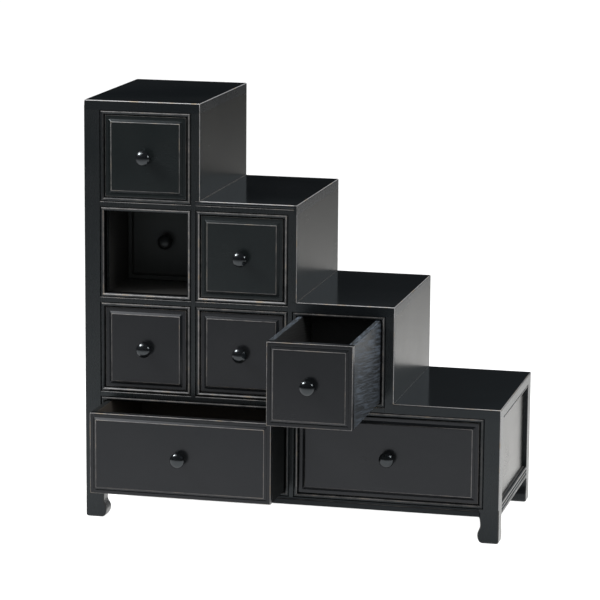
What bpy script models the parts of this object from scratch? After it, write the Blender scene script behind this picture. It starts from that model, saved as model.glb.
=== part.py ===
"""Stepped drawer chest: four steps going down to the right, eight sliding drawers, four carved feet.

Frame: +X to the right, +Y to the back, +Z up. The origin is on the floor, under the middle of the
chest's box with its drawers as they stand at rest: one small drawer far out, one wide drawer a little
out, and one short drawer pushed to the back of its open cell. Lengths are in metres.

Inside this file places are measured from the cabinet's front left corner on the floor, and the empty
"cabinet" carries them into the frame.
"""
import math

import bmesh
import bpy
from mathutils import Matrix

# Overall size
WIDTH = 0.950
DEPTH = 0.415
LOW_STEP = 0.304
ROW_PITCH = 0.2165
COLUMN_EDGES = (0.267, 0.4885, 0.710, WIDTH)
STEP_TOPS = tuple(LOW_STEP + ROW_PITCH * rows for rows in (3, 2, 1, 0))
BASE_TOP = LOW_STEP - ROW_PITCH
FOOT_HEIGHT = 0.060

# Frame members
GAP = 0.0003
POST_WIDTH = 0.046
POST_DEPTH = 0.038
STILE_WIDTH = 0.030
STILE_DEPTH = 0.012
BOARD = 0.022
BEAD_RAIL = 0.0095
RAIL_DEPTH = 0.020
PANEL_RECESS = 0.009
BACK_THICKNESS = 0.008
CENTRE_STILE_LEFT = 0.4635
SLOT_END = 0.205

# Feet: the inner edge narrows to a neck, swells out and rounds under; each is a reach from the outer
# face and a height, and the flat is the outer edge's rounding and the sole's width
NECK = (0.042, 0.041)
SWELL = (0.048, 0.019)
FOOT_FLAT = (0.006, 0.036)
CURVE_STEPS = 6

# Drawers
SIDE_GAP = 0.00175
LIFT_GAP = 0.0008
FRONT_SETBACK = 0.003
FRONT_THICKNESS = 0.018
FIELD_RAISE = 0.004
FIELD_INSET = 0.015
FIELD_CHAMFER = 0.006
BOX_WALL = 0.012
BOX_LENGTH = 0.364
SHORT_BOX_LENGTH = 0.200
BOTTOM_THICKNESS = 0.006
BOTTOM_HEIGHT = 0.009

# Where the drawers stand at rest: how far each is out of the flush position
FAR_OUT = 0.283
PARTLY_OUT = 0.125
PUSHED_BACK = -0.175

# Knobs
KNOB_RADIUS = 0.017
KNOB_PROJECTION = 0.027
KNOB_NECK_RADIUS = 0.0065
KNOB_FOOT_RADIUS = 0.009
KNOB_NECK_LENGTH = 0.011
KNOB_FOOT_LENGTH = 0.0015
KNOB_FLARE = (0.0025, 0.001)
KNOB_UNDERCUT = (0.004, 0.0015)
KNOB_RIM_RISE = 0.005
KNOB_SIDES = 24
KNOB_RINGS = 7
SHARP_ANGLE = 40.0

FRONTMOST = FRONT_SETBACK - FAR_OUT - FIELD_RAISE - GAP - KNOB_PROJECTION
MIDDLE = (WIDTH / 2, (FRONTMOST + DEPTH) / 2, 0.0)

# name, opening's left and right edges, row from the top, distance out at rest, box length
DRAWERS = (
    ("r1c1", POST_WIDTH, COLUMN_EDGES[0] - STILE_WIDTH, 0, 0.0, BOX_LENGTH),
    ("r2c1", POST_WIDTH, COLUMN_EDGES[0] - STILE_WIDTH, 1, PUSHED_BACK, SHORT_BOX_LENGTH),
    ("r2c2", COLUMN_EDGES[0], COLUMN_EDGES[1] - STILE_WIDTH, 1, 0.0, BOX_LENGTH),
    ("r3c1", POST_WIDTH, COLUMN_EDGES[0] - STILE_WIDTH, 2, 0.0, BOX_LENGTH),
    ("r3c2", COLUMN_EDGES[0], COLUMN_EDGES[1] - STILE_WIDTH, 2, 0.0, BOX_LENGTH),
    ("r3c3", COLUMN_EDGES[1], COLUMN_EDGES[2] - STILE_WIDTH, 2, FAR_OUT, BOX_LENGTH),
    ("r4_left", POST_WIDTH, CENTRE_STILE_LEFT, 3, PARTLY_OUT, BOX_LENGTH),
    ("r4_right", CENTRE_STILE_LEFT + STILE_WIDTH, WIDTH - POST_WIDTH, 3, 0.0, BOX_LENGTH),
)


def clear_scene():
    for obj in list(bpy.data.objects):
        bpy.data.objects.remove(obj, do_unlink=True)


def make_material(name, colour, roughness):
    material = bpy.data.materials.new(name)
    material.use_nodes = True
    shader = material.node_tree.nodes["Principled BSDF"]
    shader.inputs["Base Color"].default_value = (*colour, 1.0)
    shader.inputs["Roughness"].default_value = roughness
    return material


def make_empty(name, location, parent=None):
    empty = bpy.data.objects.new(name, None)
    empty.location = location
    empty.parent = parent
    bpy.context.collection.objects.link(empty)
    return empty


def add_object(name, mesh_builder, material, location, parent):
    """One closed solid from a bmesh, with its faces pointing out."""
    bmesh.ops.recalc_face_normals(mesh_builder, faces=mesh_builder.faces)
    mesh = bpy.data.meshes.new(name)
    mesh_builder.to_mesh(mesh)
    mesh_builder.free()
    mesh.materials.append(material)
    obj = bpy.data.objects.new(name, mesh)
    obj.location = location
    obj.parent = parent
    bpy.context.collection.objects.link(obj)
    return obj


def add_box(name, low, high, material, parent):
    """A plain board, with its origin at its lower front left corner."""
    size = [top - bottom for bottom, top in zip(low, high)]
    builder = bmesh.new()
    unit_corner = Matrix.Translation((0.5, 0.5, 0.5))
    bmesh.ops.create_cube(builder, size=1.0, matrix=Matrix.Diagonal((*size, 1.0)) @ unit_corner)
    return add_object(name, builder, material, low, parent)


def add_prism(name, outline, axis, start, length, material, parent):
    """An outline pushed along one axis: "x" takes (y, z) points, "y" (x, z) and "z" (x, y)."""
    place = {
        "x": lambda u, v: (0.0, u, v),
        "y": lambda u, v: (u, 0.0, v),
        "z": lambda u, v: (u, v, 0.0),
    }[axis]
    step = [length if letter == axis else 0.0 for letter in "xyz"]
    location = [start if letter == axis else 0.0 for letter in "xyz"]
    builder = bmesh.new()
    face = builder.faces.new([builder.verts.new(place(u, v)) for u, v in outline])
    pushed = bmesh.ops.extrude_face_region(builder, geom=[face])
    moved = [item for item in pushed["geom"] if isinstance(item, bmesh.types.BMVert)]
    bmesh.ops.translate(builder, vec=step, verts=moved)
    return add_object(name, builder, material, location, parent)


def front_notches(stile_lefts):
    """Front edge points, left to right, with a notch behind each stile that passes."""
    points = []
    for left in stile_lefts:
        right = left + STILE_WIDTH + GAP
        points += [
            (left - GAP, 0.0),
            (left - GAP, STILE_DEPTH + GAP),
            (right, STILE_DEPTH + GAP),
            (right, 0.0),
        ]
    return points


def add_post(name, mirrored, front, height, material, parent):
    """A corner post that ends in a carved foot. Its outer face is at x = 0 before mirroring."""
    toe, sole = FOOT_FLAT
    neck, neck_height = NECK
    swell, swell_height = SWELL
    turns = [math.pi / 2 * step / CURVE_STEPS for step in range(CURVE_STEPS + 1)]
    outline = [(0.0, height), (0.0, toe)]
    for turn in turns[1:]:
        outline.append((toe * (1 - math.cos(turn)), toe * (1 - math.sin(turn))))
    for turn in turns:
        outline.append((sole + (swell - sole) * math.sin(turn), swell_height * (1 - math.cos(turn))))
    for step in range(1, CURVE_STEPS + 1):
        part = step / CURVE_STEPS
        blend = (1 - math.cos(math.pi * part)) / 2
        outline.append((swell + (neck - swell) * blend, swell_height + (neck_height - swell_height) * part))
    for turn in turns[1:]:
        curl = (POST_WIDTH - neck) * (1 - math.cos(turn))
        outline.append((neck + curl, neck_height + (FOOT_HEIGHT - neck_height) * math.sin(turn)))
    outline.append((POST_WIDTH, height))
    if mirrored:
        outline = [(WIDTH - x, z) for x, z in outline]
    return add_prism(name, outline, "y", front, POST_DEPTH, material, parent)


def add_posts(material, cabinet):
    rear = DEPTH - POST_DEPTH
    tall = STEP_TOPS[0] - BOARD - GAP
    short = LOW_STEP - BOARD - GAP
    add_post("post_front_left", False, 0.0, tall, material, cabinet)
    add_post("post_rear_left", False, rear, tall, material, cabinet)
    add_post("post_front_right", True, 0.0, short, material, cabinet)
    add_post("post_rear_right", True, rear, short, material, cabinet)


def add_step_boards(material, cabinet):
    """The step tops. Each runs on to the left as the shelf under the row above it."""
    inner_left = POST_WIDTH + GAP
    inner_rear = DEPTH - BACK_THICKNESS - GAP
    for level, top in enumerate(STEP_TOPS):
        right = COLUMN_EDGES[level]
        if level == 0:
            add_box("step_top_1", (0.0, 0.0, top - BOARD), (right, DEPTH, top), material, cabinet)
            continue
        crossed = [edge - STILE_WIDTH for edge in COLUMN_EDGES[:level]]
        passing = crossed if level < 3 else []
        outline = [(inner_left, 0.0)]
        outline += front_notches(passing)
        outline += [(right, 0.0), (right, DEPTH)]
        if level == 3:
            edge = COLUMN_EDGES[level - 1] + GAP
            outline += [(edge, DEPTH), (edge, inner_rear)]
        else:
            for number, left in enumerate(reversed(crossed)):
                edge = left + STILE_WIDTH + GAP
                outline.append((edge, DEPTH if number == 0 else inner_rear))
                outline += [(edge, SLOT_END), (left - GAP, SLOT_END), (left - GAP, inner_rear)]
        outline.append((inner_left, inner_rear))
        add_prism(f"step_top_{level + 1}", outline, "z", top - BOARD, BOARD, material, cabinet)


def add_bottom_board(material, cabinet):
    left = RAIL_DEPTH + GAP
    right = WIDTH - left
    front = RAIL_DEPTH + GAP
    rear = DEPTH - BACK_THICKNESS - GAP
    post_side = POST_WIDTH + GAP
    post_back = POST_DEPTH + GAP
    outline = [
        (post_side, front),
        (WIDTH - post_side, front),
        (WIDTH - post_side, post_back),
        (right, post_back),
        (right, DEPTH - post_back),
        (WIDTH - post_side, DEPTH - post_back),
        (WIDTH - post_side, rear),
        (post_side, rear),
        (post_side, DEPTH - post_back),
        (left, DEPTH - post_back),
        (left, post_back),
        (post_side, post_back),
    ]
    add_prism("bottom_board", outline, "z", BASE_TOP - BOARD, BOARD, material, cabinet)


def add_rails(material, cabinet):
    """The rail under each step board, and the bottom rail between the front feet."""
    for level, top in enumerate(STEP_TOPS):
        high = top - BOARD - GAP
        low = top - BOARD - BEAD_RAIL
        left = POST_WIDTH + GAP
        if level == 3:
            right = WIDTH - POST_WIDTH - GAP
            passing = [CENTRE_STILE_LEFT]
        else:
            right = COLUMN_EDGES[level] - STILE_WIDTH - GAP
            passing = [edge - STILE_WIDTH for edge in COLUMN_EDGES[:level]]
        outline = [(left, 0.0)] + front_notches(passing)
        outline += [(right, 0.0), (right, RAIL_DEPTH), (left, RAIL_DEPTH)]
        add_prism(f"rail_{level + 1}", outline, "z", low, high - low, material, cabinet)
    add_box(
        "bottom_rail",
        (POST_WIDTH + GAP, 0.0, FOOT_HEIGHT),
        (WIDTH - POST_WIDTH - GAP, RAIL_DEPTH, BASE_TOP),
        material,
        cabinet,
    )


def add_stiles(material, cabinet):
    for number in range(3):
        right = COLUMN_EDGES[number]
        low = (right - STILE_WIDTH, 0.0, LOW_STEP + GAP)
        high = (right, STILE_DEPTH, STEP_TOPS[number] - BOARD - GAP)
        add_box(f"stile_{number + 1}", low, high, material, cabinet)
    low = (CENTRE_STILE_LEFT, 0.0, BASE_TOP + GAP)
    high = (CENTRE_STILE_LEFT + STILE_WIDTH, STILE_DEPTH, LOW_STEP - BOARD - GAP)
    add_box("stile_centre", low, high, material, cabinet)


def add_partitions(material, cabinet):
    """Upright boards behind the stiles. Above a step the board's right face is the riser."""
    front = STILE_DEPTH + GAP
    rear = DEPTH - BACK_THICKNESS - GAP
    for number in range(3):
        outline = [(front, LOW_STEP + GAP)]
        for top in reversed(STEP_TOPS[number + 1:3]):
            outline += [
                (front, top - BOARD - BEAD_RAIL - GAP),
                (RAIL_DEPTH + GAP, top - BOARD - BEAD_RAIL - GAP),
                (RAIL_DEPTH + GAP, top - BOARD - GAP),
                (SLOT_END + GAP, top - BOARD - GAP),
                (SLOT_END + GAP, top + GAP),
                (front, top + GAP),
            ]
        high = STEP_TOPS[number] - BOARD - GAP
        outline += [(front, high), (rear, high), (rear, LOW_STEP + GAP)]
        left = COLUMN_EDGES[number] - STILE_WIDTH
        add_prism(f"partition_{number + 1}", outline, "x", left, STILE_WIDTH, material, cabinet)
    high = LOW_STEP - BOARD - GAP
    under_rail = LOW_STEP - BOARD - BEAD_RAIL - GAP
    outline = [
        (front, BASE_TOP + GAP),
        (front, under_rail),
        (RAIL_DEPTH + GAP, under_rail),
        (RAIL_DEPTH + GAP, high),
        (rear, high),
        (rear, BASE_TOP + GAP),
    ]
    add_prism("partition_centre", outline, "x", CENTRE_STILE_LEFT, STILE_WIDTH, material, cabinet)


def add_sides(material, cabinet):
    """Recessed side panels between the posts, each above a side rail."""
    front = POST_DEPTH + GAP
    rear = DEPTH - POST_DEPTH - GAP
    inner = POST_WIDTH - GAP
    panel_low = BASE_TOP + GAP
    tall = STEP_TOPS[0] - BOARD - GAP
    short = LOW_STEP - BOARD - GAP
    panel_parts = (
        ("side_panel_left", PANEL_RECESS, inner, tall),
        ("side_panel_right", WIDTH - inner, WIDTH - PANEL_RECESS, short),
    )
    for name, left, right, high in panel_parts:
        add_box(name, (left, front, panel_low), (right, rear, high), material, cabinet)
    rail_parts = (
        ("side_rail_left", 0.0, RAIL_DEPTH),
        ("side_rail_right", WIDTH - RAIL_DEPTH, WIDTH),
    )
    for name, left, right in rail_parts:
        add_box(name, (left, front, FOOT_HEIGHT), (right, rear, BASE_TOP), material, cabinet)


def add_back_panel(material, cabinet):
    left = POST_WIDTH + GAP
    outline = [(left, FOOT_HEIGHT), (WIDTH - left, FOOT_HEIGHT)]
    heights = [top - BOARD - GAP for top in STEP_TOPS]
    right_edges = [*COLUMN_EDGES[:3], WIDTH - left]
    for level in (3, 2, 1, 0):
        outline.append((right_edges[level], heights[level]))
        next_edge = right_edges[level - 1] if level else left
        outline.append((next_edge, heights[level]))
    add_prism("back_panel", outline, "y", DEPTH - BACK_THICKNESS, BACK_THICKNESS, material, cabinet)


def add_front(name, width, height, material, parent):
    """A drawer front with a raised field. Its origin is at the middle of its border face."""
    builder = bmesh.new()
    half_width = width / 2
    half_height = height / 2
    rings = (
        (half_width, half_height, FRONT_THICKNESS),
        (half_width, half_height, 0.0),
        (half_width - FIELD_INSET + FIELD_CHAMFER, half_height - FIELD_INSET + FIELD_CHAMFER, 0.0),
        (half_width - FIELD_INSET, half_height - FIELD_INSET, -FIELD_RAISE),
    )
    loops = []
    for half_x, half_z, y in rings:
        corners = ((-half_x, -half_z), (half_x, -half_z), (half_x, half_z), (-half_x, half_z))
        loops.append([builder.verts.new((x, y, z)) for x, z in corners])
    for near, far in zip(loops, loops[1:]):
        for corner in range(4):
            following = (corner + 1) % 4
            builder.faces.new((near[corner], near[following], far[following], far[corner]))
    builder.faces.new(loops[0])
    builder.faces.new(loops[-1])
    return add_object(name, builder, material, (0.0, 0.0, 0.0), parent)


def add_drawer_box(name, width, height, length, material, parent):
    """The two sides and the back, glued up into one U. It starts behind the front."""
    start = FRONT_THICKNESS + GAP
    end = FRONT_THICKNESS + length
    outer = width / 2
    inner = outer - BOX_WALL
    outline = [
        (-outer, start),
        (-inner, start),
        (-inner, end - BOX_WALL),
        (inner, end - BOX_WALL),
        (inner, start),
        (outer, start),
        (outer, end),
        (-outer, end),
    ]
    return add_prism(name, outline, "z", -height / 2, height, material, parent)


def add_drawer_bottom(name, width, height, length, material, parent):
    half = width / 2 - BOX_WALL - GAP
    low = -height / 2 + BOTTOM_HEIGHT
    near = FRONT_THICKNESS + GAP
    far = FRONT_THICKNESS + length - BOX_WALL - GAP
    return add_box(name, (-half, near, low), (half, far, low + BOTTOM_THICKNESS), material, parent)


def knob_profile():
    """Radius and distance from the drawer's face, from the foot to the dome's middle."""
    flare_rise, flare_end = KNOB_FLARE
    undercut, undercut_rise = KNOB_UNDERCUT
    points = [
        (KNOB_FOOT_RADIUS, 0.0),
        (KNOB_FOOT_RADIUS, KNOB_FOOT_LENGTH),
        (KNOB_NECK_RADIUS, KNOB_FOOT_LENGTH + flare_rise),
        (KNOB_NECK_RADIUS, KNOB_NECK_LENGTH - flare_end),
        (KNOB_RADIUS - undercut, KNOB_NECK_LENGTH + undercut_rise),
    ]
    rim = KNOB_NECK_LENGTH + KNOB_RIM_RISE
    for ring in range(KNOB_RINGS):
        turn = math.pi / 2 * ring / KNOB_RINGS
        points.append((KNOB_RADIUS * math.cos(turn), rim + (KNOB_PROJECTION - rim) * math.sin(turn)))
    return points


def add_knob(name, material, parent):
    """A turned knob, standing out towards -Y from the middle of the raised field."""
    builder = bmesh.new()
    rings = []
    for radius, reach in knob_profile():
        ring = []
        for side in range(KNOB_SIDES):
            turn = 2 * math.pi * side / KNOB_SIDES
            ring.append(builder.verts.new((radius * math.cos(turn), -reach, radius * math.sin(turn))))
        rings.append(ring)
    for near, far in zip(rings, rings[1:]):
        for side in range(KNOB_SIDES):
            following = (side + 1) % KNOB_SIDES
            builder.faces.new((near[side], near[following], far[following], far[side]))
    builder.faces.new(rings[0])
    tip = builder.verts.new((0.0, -KNOB_PROJECTION, 0.0))
    for side in range(KNOB_SIDES):
        builder.faces.new((rings[-1][side], rings[-1][(side + 1) % KNOB_SIDES], tip))
    obj = add_object(name, builder, material, (0.0, -FIELD_RAISE - GAP, 0.0), parent)
    obj.data.shade_smooth()
    obj.data.set_sharp_from_angle(angle=math.radians(SHARP_ANGLE))
    return obj


def add_drawer(spec, materials, cabinet):
    """One drawer. Its empty is on the slide axis, at the middle of the front's border face."""
    name, left, right, row, distance_out, length = spec
    floor = STEP_TOPS[row + 1] if row < 3 else BASE_TOP
    ceiling = STEP_TOPS[row] - BOARD - BEAD_RAIL
    width = right - left - 2 * SIDE_GAP
    height = ceiling - floor - 2 * LIFT_GAP
    place = ((left + right) / 2, FRONT_SETBACK - distance_out, (floor + ceiling) / 2)
    slide = make_empty(f"slide_{name}", place, cabinet)
    add_front(f"front_{name}", width, height, materials["front"], slide)
    add_drawer_box(f"box_{name}", width, height, length, materials["box"], slide)
    add_drawer_bottom(f"bottom_{name}", width, height, length, materials["bottom"], slide)
    add_knob(f"knob_{name}", materials["knob"], slide)


def main():
    clear_scene()
    frame = make_material("frame_lacquer", (0.030, 0.033, 0.036), 0.38)
    boards = make_material("top_lacquer", (0.022, 0.024, 0.027), 0.22)
    panels = make_material("panel_lacquer", (0.034, 0.036, 0.038), 0.35)
    inside = make_material("inner_board", (0.045, 0.040, 0.036), 0.60)
    drawer_materials = {
        "front": make_material("front_lacquer", (0.032, 0.035, 0.038), 0.36),
        "box": make_material("drawer_side", (0.060, 0.064, 0.070), 0.50),
        "bottom": make_material("drawer_bottom", (0.042, 0.036, 0.032), 0.60),
        "knob": make_material("knob_lacquer", (0.012, 0.013, 0.015), 0.12),
    }
    cabinet = make_empty("cabinet", [-value for value in MIDDLE])
    add_posts(frame, cabinet)
    add_step_boards(boards, cabinet)
    add_bottom_board(inside, cabinet)
    add_rails(frame, cabinet)
    add_stiles(frame, cabinet)
    add_partitions(panels, cabinet)
    add_sides(panels, cabinet)
    add_back_panel(inside, cabinet)
    for spec in DRAWERS:
        add_drawer(spec, drawer_materials, cabinet)


main()
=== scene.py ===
import math

import bmesh
import bpy
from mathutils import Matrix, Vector


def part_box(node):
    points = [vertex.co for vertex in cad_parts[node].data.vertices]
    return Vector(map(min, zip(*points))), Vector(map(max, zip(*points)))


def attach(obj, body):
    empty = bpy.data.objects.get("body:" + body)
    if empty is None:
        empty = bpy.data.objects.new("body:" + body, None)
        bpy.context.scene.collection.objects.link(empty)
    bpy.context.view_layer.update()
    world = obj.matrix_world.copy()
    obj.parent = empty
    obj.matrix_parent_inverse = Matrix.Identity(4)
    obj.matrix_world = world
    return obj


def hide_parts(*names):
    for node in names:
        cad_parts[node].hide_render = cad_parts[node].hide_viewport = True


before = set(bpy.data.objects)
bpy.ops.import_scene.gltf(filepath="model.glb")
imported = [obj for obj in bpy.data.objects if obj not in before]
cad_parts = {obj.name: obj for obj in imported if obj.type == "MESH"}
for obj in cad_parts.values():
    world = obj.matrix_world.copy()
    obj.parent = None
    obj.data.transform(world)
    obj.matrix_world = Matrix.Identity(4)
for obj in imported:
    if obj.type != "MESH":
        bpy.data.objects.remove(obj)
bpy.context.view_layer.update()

# Stepped drawer chest in distressed black lacquer. Shapes below are written in chest coordinates: x from
# the left face, y from the front plane towards the back, z from the floor, in metres.

# ---------------------------------------------------------------- what the CAD says

CORNER = Vector((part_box("post_front_left")[0].x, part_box("post_front_left")[0].y, 0.0))
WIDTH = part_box("post_front_right")[1].x - CORNER.x
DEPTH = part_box("post_rear_left")[1].y - CORNER.y
TOPS = [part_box(f"step_top_{level}")[1].z for level in (1, 2, 3, 4)]
EDGES = [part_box(f"step_top_{level}")[1].x - CORNER.x for level in (1, 2, 3, 4)]
BOARD = TOPS[0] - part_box("step_top_1")[0].z
BASE_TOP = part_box("bottom_rail")[1].z
RAIL_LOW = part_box("bottom_rail")[0].z
RAIL_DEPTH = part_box("bottom_rail")[1].y - CORNER.y
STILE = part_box("stile_1")[1].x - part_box("stile_1")[0].x
STILE_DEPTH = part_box("stile_1")[1].y - CORNER.y
POST_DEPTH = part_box("post_front_left")[1].y - CORNER.y
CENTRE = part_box("stile_centre")[0].x - CORNER.x
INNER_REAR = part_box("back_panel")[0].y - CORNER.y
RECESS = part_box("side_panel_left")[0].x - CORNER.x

# Clearances beside a drawer, over and under it, and between touching solids
SIDE_GAP = 0.00175
LIFT_GAP = 0.0008
GAP = 0.0003
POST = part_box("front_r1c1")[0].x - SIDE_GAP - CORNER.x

# Mouldings. Beads stand on backing that is sunk behind the front plane, with flats between them. Outer edges
# have an arris, small ones are only eased, and step 2's beaded front ends in a plain corner block.
BEAD = 0.010
BEAD_RADIUS = 0.0044
BEAD_RAIL = 0.0095
SINK = 0.005
BACKING = SINK + 0.0008
MOULDING_BACK = 0.0185
FLAT_LOW = 0.0215
FLAT_ROUND = 0.0022
ARRIS = 0.0032
EASE = 0.0011
CORNER_BLOCK = 0.0075

# Feet: how far the inner edge reaches from the outer face, and the heights of its neck and its swell
NECK = (0.042, 0.041)
SWELL = (0.048, 0.019)
SOLE = 0.036
SOLE_ROUND = 0.006
FOOT_LEVELS = (
    0.0, 0.0004, 0.0012, 0.0025, 0.004, 0.006, 0.009, 0.012, 0.0155, 0.019, 0.022,
    0.0255, 0.029, 0.033, 0.037, 0.041, 0.045, 0.049, 0.0525, 0.0555, 0.058, 0.0595,
)

# Drawers
FRONT_THICK = 0.018
RAISE = 0.004
INSET = 0.015
CHAMFER = 0.006
BOX_WALL = 0.012

# Steps round each corner of a rounded rectangle
CORNER_STEPS = 4

DRAWERS = ("r1c1", "r2c1", "r2c2", "r3c1", "r3c2", "r3c3", "r4_left", "r4_right")


# ---------------------------------------------------------------- mesh helpers


class Piece:
    """Closed shells gathered into one mesh.

    The attribute "wear" is how rubbed each point is, and "inside" marks faces within the case."""

    def __init__(self):
        self.points = []
        self.faces = []
        self.wear = []
        self.inside = []

    def add(self, points, faces, wear, inside=0.0):
        first = len(self.points)
        self.points += [tuple(point) for point in points]
        self.faces += [[first + number for number in face] for face in faces]
        self.wear += list(wear)
        self.inside += [inside] * len(faces)

    def add_shell(self, shell, inside=0.0):
        """Adds a shell's mesh. A bevel's faces come in another order each run, so they are sorted."""
        builder = shell.builder
        bmesh.ops.recalc_face_normals(builder, faces=builder.faces)
        builder.normal_update()
        builder.verts.index_update()
        faces = sorted(from_lowest([vert.index for vert in face.verts]) for face in builder.faces)
        points = [vert.co.copy() for vert in builder.verts]
        self.add(points, faces, [shell.rub(vert) for vert in builder.verts], inside)
        builder.free()

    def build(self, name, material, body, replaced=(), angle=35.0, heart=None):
        """Makes the object. Upright faces that look towards heart, where there is one, count as inside."""
        mesh = bpy.data.meshes.new(name)
        mesh.from_pydata([Vector(point) + CORNER for point in self.points], [], self.faces)
        mesh.update()
        attribute = mesh.attributes.new("wear", "FLOAT", "POINT")
        attribute.data.foreach_set("value", self.wear)
        inside = mesh.attributes.new("inside", "FLOAT", "FACE")
        for face, mark, value in zip(mesh.polygons, self.inside, inside.data):
            hidden = heart is not None and looks_towards(face, heart + CORNER)
            value.value = 1.0 if hidden else mark
        mesh.materials.append(material)
        mesh.shade_smooth()
        mesh.set_sharp_from_angle(angle=math.radians(angle))
        obj = bpy.data.objects.new(name, mesh)
        bpy.context.scene.collection.objects.link(obj)
        weighted = obj.modifiers.new("flat_faces_stay_flat", "WEIGHTED_NORMAL")
        weighted.keep_sharp = True
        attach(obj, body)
        if replaced:
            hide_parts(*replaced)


class Shell:
    """One closed solid: an outline pushed along an axis, with some of its edges rounded and rubbed.

    Axis "x" takes (y, z) points, "y" (x, z) and "z" (x, y)."""

    def __init__(self, outline, axis, start, end):
        place = {
            "x": lambda u, v, w: (w, u, v),
            "y": lambda u, v, w: (u, w, v),
            "z": lambda u, v, w: (u, v, w),
        }[axis]
        self.softened = []
        self.builder = bmesh.new()
        near = [self.builder.verts.new(place(u, v, start)) for u, v in outline]
        far = [self.builder.verts.new(place(u, v, end)) for u, v in outline]
        self.builder.faces.new(near)
        self.builder.faces.new(reversed(far))
        for number in range(len(outline)):
            following = (number + 1) % len(outline)
            self.builder.faces.new((near[number], far[number], far[following], near[following]))
        bmesh.ops.recalc_face_normals(self.builder, faces=self.builder.faces)
        self.builder.edges.index_update()

    def soften(self, radius, *corners, segments=5, profile=0.66):
        """Rounds edges in one go. A corner is how rubbed it is, then the planes that its edges lie in.

        A plane is an axis and a place on it, such as ("x", 0.0)."""
        chosen = set()
        for wear, *planes in corners:
            for edge in self.builder.edges:
                if all(is_near(end.co, planes, 2e-5) for end in edge.verts):
                    chosen.add(edge)
            self.softened.append((planes, radius, wear))
        bmesh.ops.bevel(
            self.builder,
            geom=sorted(chosen, key=lambda edge: edge.index),
            offset=radius,
            offset_type="OFFSET",
            segments=segments,
            profile=profile,
            affect="EDGES",
            clamp_overlap=True,
        )

    def rub(self, vert):
        """How rubbed a point is: most in the middle of a rounded edge, and not at all on a flat face."""
        slants = [1.0 - max(abs(value) for value in face.normal) for face in vert.link_faces]
        slants = [slant for slant in slants if slant > 0.0001]
        if not slants:
            return 0.0
        slant = sum(slants) / len(slants)
        strongest = 0.0
        for planes, radius, wear in self.softened:
            if is_near(vert.co, planes, radius * 1.05):
                strongest = max(strongest, wear)
        return strongest * min(1.0, slant / 0.22)


def from_lowest(loop):
    """The same loop of numbers, begun at its lowest."""
    start = loop.index(min(loop))
    return loop[start:] + loop[:start]


def is_near(point, planes, reach):
    """Whether a point is within reach of every one of some planes."""
    return all(abs(getattr(point, axis) - place) < reach for axis, place in planes)


def looks_towards(face, place):
    """Whether an upright face has a place in front of it."""
    return abs(face.normal.z) < 0.5 and (place - face.center).dot(face.normal) > 0


def box(low, high):
    outline = [(low[0], low[1]), (high[0], low[1]), (high[0], high[1]), (low[0], high[1])]
    return Shell(outline, "z", low[2], high[2])


def loft(rings, wear=None):
    """Joins rings that have the same number of points, and caps both ends.

    Returns points, faces and wear for Piece.add."""
    count = len(rings[0])
    points = [point for ring in rings for point in ring]
    worn = [value for values in wear for value in values] if wear else [0.0] * len(points)
    faces = []
    for here in range(0, len(points) - count, count):
        there = here + count
        for side in range(count):
            following = (side + 1) % count
            faces.append((here + side, here + following, there + following, there + side))
    faces.append(tuple(reversed(range(count))))
    faces.append(tuple(range(len(points) - count, len(points))))
    return points, faces, worn


def turned_over(faces):
    return [tuple(reversed(face)) for face in faces]


def rounded_rectangle(low_u, high_u, low_v, high_v, radius):
    """Points round a rectangle with round corners, anticlockwise from the low corner."""
    corners = (
        (low_u, low_v, 1, 1, math.pi),
        (high_u, low_v, -1, 1, 1.5 * math.pi),
        (high_u, high_v, -1, -1, 0.0),
        (low_u, high_v, 1, -1, 0.5 * math.pi),
    )
    points = []
    for u, v, side_u, side_v, turn in corners:
        for step in range(CORNER_STEPS + 1):
            angle = turn + 0.5 * math.pi * step / CORNER_STEPS
            points.append((
                u + side_u * radius + radius * math.cos(angle),
                v + side_v * radius + radius * math.sin(angle),
            ))
    return points


# ---------------------------------------------------------------- materials


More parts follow.
